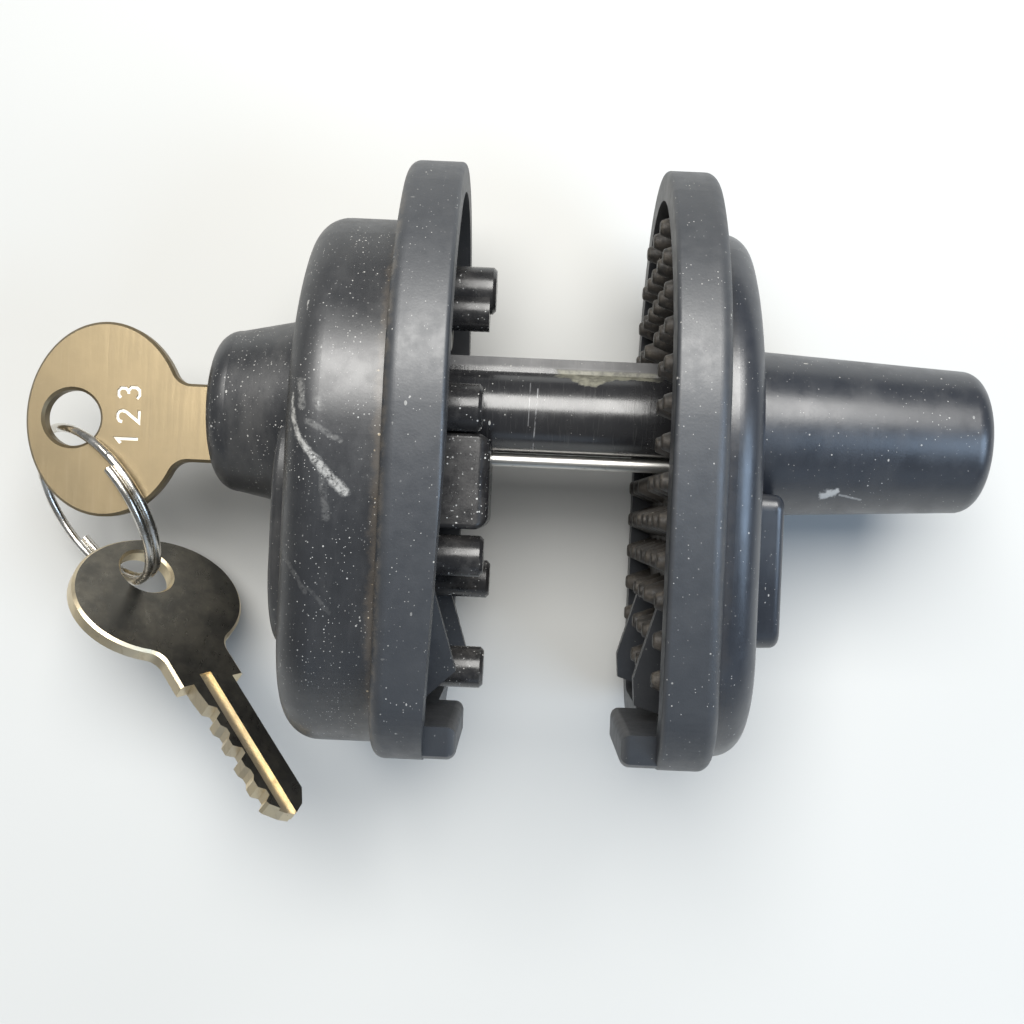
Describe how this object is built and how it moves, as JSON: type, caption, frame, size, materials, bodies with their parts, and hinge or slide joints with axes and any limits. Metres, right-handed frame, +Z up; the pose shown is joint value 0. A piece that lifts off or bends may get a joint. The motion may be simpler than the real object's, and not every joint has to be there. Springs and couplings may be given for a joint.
{
  "type": "trigger lock",
  "caption": "Two-piece keyed clamp lock: rubber-faced pads joined by a post that ratchets into a socket half, with a key in the cylinder and a spare on a split ring.",
  "frame": {"origin": "on the lock axis, in the plane of the keyed half's rubber rim", "axes": "+X along the lock axis from the keyed half to the socket half, +Y along the long way of the pads towards the end with the round pegs, +Z up with the lock lying on its side"},
  "size_m": [0.1039, 0.0705, 0.041],
  "materials": {
    "casing_black": "satin black, dusty and lightly scuffed",
    "pad_rubber": "dull dark grey moulded rubber",
    "stud_rubber": "dark rubber with brown dirt",
    "plate_steel": "black coated plate",
    "screw_steel": "zinc plated",
    "peg_plastic": "black, specked with dust",
    "post_black": "semi-gloss black with a worn patch",
    "rod_steel": "satin steel",
    "cylinder_zinc": "die-cast zinc",
    "plug_brass": "machined",
    "wafer_brass": "stamped",
    "spring_steel": "blued spring steel",
    "hard_steel": "hardened steel",
    "key_nickel_brass": "nickel-plated brass worn to a warm tan, satin",
    "ring_nickel": "bright nickel"
  },
  "bodies": {
    "keyed_half": {"keyed_casing": "casing_black", "keyed_pad": "pad_rubber", "keyed_face_plate": "plate_steel", "keyed_plate_screws": "screw_steel", "guard_pegs": "peg_plastic", "post_support_block": "peg_plastic", "locking_post": "post_black", "post_tip_cap": "post_black", "guide_rod": "rod_steel", "cylinder_shell": "cylinder_zinc", "cylinder_screws": "screw_steel"},
    "plug": {"plug": "plug_brass", "wafers": "wafer_brass", "plug_retaining_clip": "spring_steel", "release_shaft": "rod_steel"},
    "key": {"key": "key_nickel_brass"},
    "key_ring": {"key_ring": "ring_nickel"},
    "spare_key": {"spare_key": "key_nickel_brass"},
    "latch_pawl": {"latch_pawl": "hard_steel"},
    "socket_half": {"socket_casing": "casing_black", "ratchet_rack": "hard_steel", "socket_face_plate": "plate_steel", "socket_plate_screws": "screw_steel", "socket_pad": "pad_rubber", "stud_mat": "stud_rubber"}
  },
  "joints": [
    {"name": "key_turn", "type": "hinge", "parent": "keyed_half", "child": "plug", "pos_m": [0, 0, 0], "axis": [1, 0, 0], "range_deg": [0, 90]},
    {"name": "key_withdraw", "type": "slide", "parent": "plug", "child": "key", "axis": [-1, 0, 0], "range_m": [0, 0.026]},
    {"name": "ring_turn", "type": "hinge", "parent": "key", "child": "key_ring", "pos_m": [-0.04026, -0.01085, -0.00476], "axis": [0.5913, 0.509, -0.6255], "range_deg": [0, 30]},
    {"name": "spare_key_slide", "type": "hinge", "parent": "key_ring", "child": "spare_key", "pos_m": [-0.04026, -0.01085, -0.00476], "axis": [0.5913, 0.509, -0.6255], "range_deg": [0, 30]},
    {"name": "latch_pawl_slide", "type": "slide", "parent": "keyed_half", "child": "latch_pawl", "axis": [0, 0, -1], "range_m": [0, 0.00113]},
    {"name": "socket_half_slide", "type": "slide", "parent": "keyed_half", "child": "socket_half", "axis": [1, 0, 0], "range_m": [-0.012, 0.0264]}
  ],
  "couplings": [
    {"joint": "latch_pawl_slide", "follows": "key_turn", "m_per_rad": 0.00071938}
  ]
}
